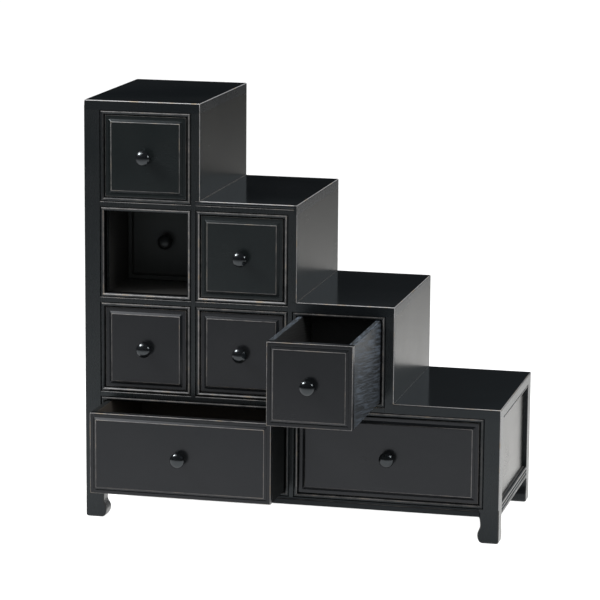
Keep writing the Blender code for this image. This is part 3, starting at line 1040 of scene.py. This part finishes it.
def front_rings(outer):
    """The front's section from its back edge round to the field: inset, depth, rub and corner radius.

    outer is how rubbed its outer edge is."""
    border = INSET - CHAMFER
    return (
        (0.0003, FRONT_THICK, 0.0, 0.0006),
        (0.0, FRONT_THICK - 0.0006, 0.0, 0.0010),
        (0.0, 0.0022, 0.0, 0.0014),
        (0.0001, 0.0012, 0.45 * outer, 0.0016),
        (0.0006, 0.0004, 0.85 * outer, 0.0018),
        (0.0013, 0.0001, 0.55 * outer, 0.0018),
        (0.0024, 0.0, 0.0, 0.0018),
        (border - 0.0014, 0.0, 0.0, 0.0018),
        (border - 0.0004, 0.0002, 0.0, 0.0016),
        (border + 0.0001, 0.0007, 0.0, 0.0014),
        (border + 0.0007, 0.0005, 0.0, 0.0012),
        (INSET - 0.0011, 0.0010 - RAISE, 0.10, 0.0010),
        (INSET - 0.0004, 0.0004 - RAISE, 0.66, 0.0009),
        (INSET + 0.0004, -RAISE, 0.62, 0.0008),
        (INSET + 0.0016, -RAISE, 0.0, 0.0006),
    )


def add_front(drawer, body):
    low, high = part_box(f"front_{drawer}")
    half_x = (high.x - low.x) / 2
    half_z = (high.z - low.z) / 2
    centre_x = (high.x + low.x) / 2 - CORNER.x
    centre_z = (high.z + low.z) / 2
    face = low.y + RAISE - CORNER.y
    outer_rub = 1.0 if drawer in OUT else 0.64
    rings = []
    worn = []
    for inset, depth, rub, radius in front_rings(outer_rub):
        ring = rounded_rectangle(
            centre_x - half_x + inset,
            centre_x + half_x - inset,
            centre_z - half_z + inset,
            centre_z + half_z - inset,
            radius,
        )
        rings.append([(x, face + depth, z) for x, z in ring])
        worn.append([rub * share for share in FRONT_RUB_AND_PAINTED_SHADE[drawer] for _ in range(CORNER_STEPS + 1)])
    points, faces, wear = loft(rings, worn)
    piece = Piece()
    piece.add(points, turned_over(faces), wear)
    finish = FRONT_FINISH.get(drawer, FRONT)
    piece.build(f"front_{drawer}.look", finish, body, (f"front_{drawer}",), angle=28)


def add_box(drawer, body):
    """Two sides and a back, glued up into one U that is open towards the front."""
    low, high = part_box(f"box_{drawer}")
    low = low - CORNER
    high = high - CORNER
    near = low.y - GAP
    outline = [
        (low.x, near),
        (low.x + BOX_WALL, near),
        (low.x + BOX_WALL, high.y - BOX_WALL),
        (high.x - BOX_WALL, high.y - BOX_WALL),
        (high.x - BOX_WALL, near),
        (high.x, near),
        (high.x, high.y),
        (low.x, high.y),
    ]
    shell = Shell(outline, "z", low.z, high.z)
    shell.soften(0.0018, (0.55, ("z", high.z)), segments=4)
    shell.soften(0.0012, (0.4, ("z", low.z)), segments=3)
    shell.soften(0.0012, (0.3, ("y", high.y)), segments=3)
    piece = Piece()
    piece.add_shell(shell)
    # The low drawers' boxes take the copy darkened with painted shade, with painted light inside
    finish = PAINTED_SHADE_SIDE if drawer.startswith("r4") else SIDE
    heart = (low + high) / 2
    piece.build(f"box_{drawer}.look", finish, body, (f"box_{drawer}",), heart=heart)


def add_bottom(drawer, body):
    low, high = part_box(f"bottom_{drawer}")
    spread = Vector((GAP, GAP, 0))
    piece = Piece()
    piece.add_shell(box(low - CORNER - spread, high - CORNER + spread))
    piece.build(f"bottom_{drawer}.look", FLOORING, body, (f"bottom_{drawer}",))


# The knob's turned foot, waist and the underside of its cap, as radius and reach from the field's face.
# The cap's crown is a quarter of an ellipse from the rim to the tip.
KNOB_STEM = (
    (0.0090, -0.0004),
    (0.0090, 0.0008),
    (0.0086, 0.0015),
    (0.0076, 0.0023),
    (0.0070, 0.0034),
    (0.0066, 0.0050),
    (0.0065, 0.0070),
    (0.0067, 0.0088),
    (0.0073, 0.0102),
    (0.0085, 0.0112),
    (0.0105, 0.0119),
    (0.0128, 0.0124),
    (0.0148, 0.0131),
    (0.0161, 0.0142),
    (0.0168, 0.0155),
)
KNOB_RIM = (0.0170, 0.0168)
KNOB_REACH = 0.0270
KNOB_SIDES = 48


def knob_profile():
    radius, rim = KNOB_RIM
    turns = [math.pi / 2 * step / 15 for step in range(1, 15)]
    crown = [(radius * math.cos(turn), rim + (KNOB_REACH - rim) * math.sin(turn)) for turn in turns]
    return [*KNOB_STEM, KNOB_RIM, *crown]


def add_knob(drawer, body):
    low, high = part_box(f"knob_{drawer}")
    middle = (low + high) / 2 - CORNER
    face = high.y - CORNER.y
    rings = []
    for radius, out in knob_profile():
        turns = [2 * math.pi * side / KNOB_SIDES for side in range(KNOB_SIDES)]
        rings.append([
            (middle.x + radius * math.cos(turn), face - out, middle.z + radius * math.sin(turn))
            for turn in turns
        ])
    points, faces, wear = loft(rings)
    last = faces.pop()
    tip = len(points)
    points.append((middle.x, face - KNOB_REACH, middle.z))
    faces += [(here, following, tip) for here, following in zip(last, (*last[1:], last[0]))]
    piece = Piece()
    piece.add(points, faces, [*wear, 0.0])
    finish = DULL_KNOB if drawer == "r2c1" else KNOB
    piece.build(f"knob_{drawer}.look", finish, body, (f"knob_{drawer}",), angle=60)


# ---------------------------------------------------------------- studio


def floor_material():
    """A pale glowing floor that fades out with distance, so that it meets the white behind it."""
    made = Nodes(bpy.data.materials.new("studio_floor"), "ShaderNodeOutputMaterial")
    place = made.node("ShaderNodeTexCoord").outputs["Object"]
    distance = made.node("ShaderNodeVectorMath", operation="LENGTH", i0=place).outputs["Value"]
    spread = made.math("POWER", made.math("DIVIDE", distance, 2.6), 2.0)
    solid = made.math("DIVIDE", 0.52, made.math("ADD", 1.0, spread))
    cloud = made.noise(place, 3.0)
    colour = made.mix(made.span(cloud, 0.3, 0.7), (0.80, 0.80, 0.80, 1), (0.83, 0.83, 0.83, 1))
    diffuse = made.node("ShaderNodeBsdfDiffuse", Color=colour, Roughness=0.5)
    glow = made.node("ShaderNodeEmission", Color=colour, Strength=1.15)
    lit = made.node("ShaderNodeAddShader", i0=diffuse.outputs[0], i1=glow.outputs[0])
    clear = made.node("ShaderNodeBsdfTransparent")
    mixed = made.node("ShaderNodeMixShader", i0=solid, i1=clear.outputs[0], i2=lit.outputs[0])
    made.put(mixed.outputs[0], made.output.inputs[0])
    return made.owner


def add_floor():
    sides = 72
    builder = bmesh.new()
    loops = []
    for radius in (0.6, 1.2, 2.0, 3.0, 4.5, 6.5, 9.0, 12.0, 16.0):
        turns = [2 * math.pi * side / sides for side in range(sides)]
        places = [(radius * math.cos(turn), radius * math.sin(turn), 0.0) for turn in turns]
        loops.append([builder.verts.new(place) for place in places])
    builder.faces.new(loops[0])
    for near, far in zip(loops, loops[1:]):
        for side in range(sides):
            following = (side + 1) % sides
            builder.faces.new((near[side], far[side], far[following], near[following]))
    mesh = bpy.data.meshes.new("studio_floor")
    builder.to_mesh(mesh)
    builder.free()
    mesh.materials.append(floor_material())
    obj = bpy.data.objects.new("studio_floor", mesh)
    bpy.context.scene.collection.objects.link(obj)


# Each softbox's name, place, aim, width, height and radiance
SOFTBOXES = (
    ("softbox_left", (-1.60, -0.85, 2.35), (-0.5, -0.2, 0.4), 1.7, 1.3, 3.0),
    ("softbox_left_core", (-1.95, -0.75, 2.30), (-0.3, 0.0, 0.5), 0.66, 0.66, 46.0),
    ("softbox_right", (2.05, -0.85, 1.75), (0.0, 0.0, 0.5), 0.55, 0.75, 11.0),
)


def add_softbox(name, place, aim, width, height, radiance):
    light = bpy.data.lights.new(name, "AREA")
    light.shape = "RECTANGLE"
    light.size = width
    light.size_y = height
    light.energy = radiance * math.pi * width * height
    obj = bpy.data.objects.new(name, light)
    obj.location = place
    obj.rotation_mode = "QUATERNION"
    obj.rotation_quaternion = (Vector(aim) - Vector(place)).to_track_quat("-Z", "Y")
    obj.visible_camera = False
    bpy.context.scene.collection.objects.link(obj)


def add_sun():
    """Broad even light from above, which the lacquer doesn't mirror."""
    sun = bpy.data.lights.new("overhead", "SUN")
    sun.energy = 2.4
    sun.angle = math.radians(170)
    obj = bpy.data.objects.new("overhead", sun)
    obj.visible_glossy = False
    bpy.context.scene.collection.objects.link(obj)


def studio_walls(made):
    """The colour of the room that the lacquer mirrors.

    It is dark, with a faint haze above, and with a pale wall and floor behind on the right."""
    direction = made.node("ShaderNodeTexCoord").outputs["Generated"]
    across, away, up = made.node("ShaderNodeSeparateXYZ", Vector=direction).outputs
    right = made.math("MULTIPLY", made.ramp(across, 0.02, 0.12), made.ramp(away, 0.3, 0.6))
    down = made.ramp(up, -0.138, -0.242)
    steep = made.math("MULTIPLY", made.math("POWER", down, 4.0), 1.04)
    floor = made.math("MULTIPLY", made.math("ADD", made.math("MULTIPLY", down, 0.56), steep), right)
    wall = made.math("MULTIPLY", made.ramp(up, 0.02, 0.10), made.ramp(up, 0.62, 0.40))
    wall = made.math("MULTIPLY", made.math("MULTIPLY", wall, right), 0.36)
    haze = made.math("MULTIPLY", made.ramp(up, 0.15, 0.25), 0.036)
    cool = made.math("ADD", made.math("ADD", wall, haze), 0.0065)
    colour = made.node("ShaderNodeCombineXYZ")
    for socket, cool_share, warm_share in zip(colour.inputs, (0.90, 1.0, 1.08), (1.0, 0.99, 0.95)):
        warm = made.math("MULTIPLY", floor, warm_share)
        made.put(made.math("ADD", made.math("MULTIPLY", cool, cool_share), warm), socket)
    return colour.outputs[0]


def add_world():
    """White behind the chest, and the dim room in everything that the chest mirrors."""
    world = bpy.data.worlds.new("studio")
    bpy.context.scene.world = world
    made = Nodes(world, "ShaderNodeOutputWorld")
    straight = made.node("ShaderNodeLightPath").outputs["Is Camera Ray"]
    white = made.node("ShaderNodeBackground", Color=(1.0, 1.0, 1.0, 1.0), Strength=1.05)
    dim = made.node("ShaderNodeBackground", Color=studio_walls(made))
    mixed = made.node("ShaderNodeMixShader", i0=straight, i1=dim.outputs[0], i2=white.outputs[0])
    made.put(mixed.outputs[0], made.output.inputs[0])


def add_camera():
    """A long lens, from the right and a little above."""
    data = bpy.data.cameras.new("camera")
    data.sensor_width = 36.0
    data.lens = 179.518
    data.clip_start = 0.1
    data.clip_end = 100.0
    obj = bpy.data.objects.new("camera", data)
    obj.location = (1.5170, -6.3603, 1.7714)
    obj.rotation_euler = (1.3811, -0.0074, 0.2342)
    bpy.context.scene.collection.objects.link(obj)
    bpy.context.scene.camera = obj
    bpy.context.scene.view_settings.view_transform = "Standard"


# ---------------------------------------------------------------- build

add_camera()
add_posts()
add_step_boards()
add_rails()
add_bottom_rail()
add_stiles()
add_partitions()
add_sides()
add_back()
for drawer_name in DRAWERS:
    body_name = f"drawer_{drawer_name}"
    add_bead(drawer_name)
    add_front(drawer_name, body_name)
    add_box(drawer_name, body_name)
    add_bottom(drawer_name, body_name)
    add_knob(drawer_name, body_name)

# The one CAD node that keeps its own shape
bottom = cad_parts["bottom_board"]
bottom.data.materials.clear()
bottom.data.materials.append(INNER)

add_floor()
for softbox in SOFTBOXES:
    add_softbox(*softbox)
add_sun()
add_world()
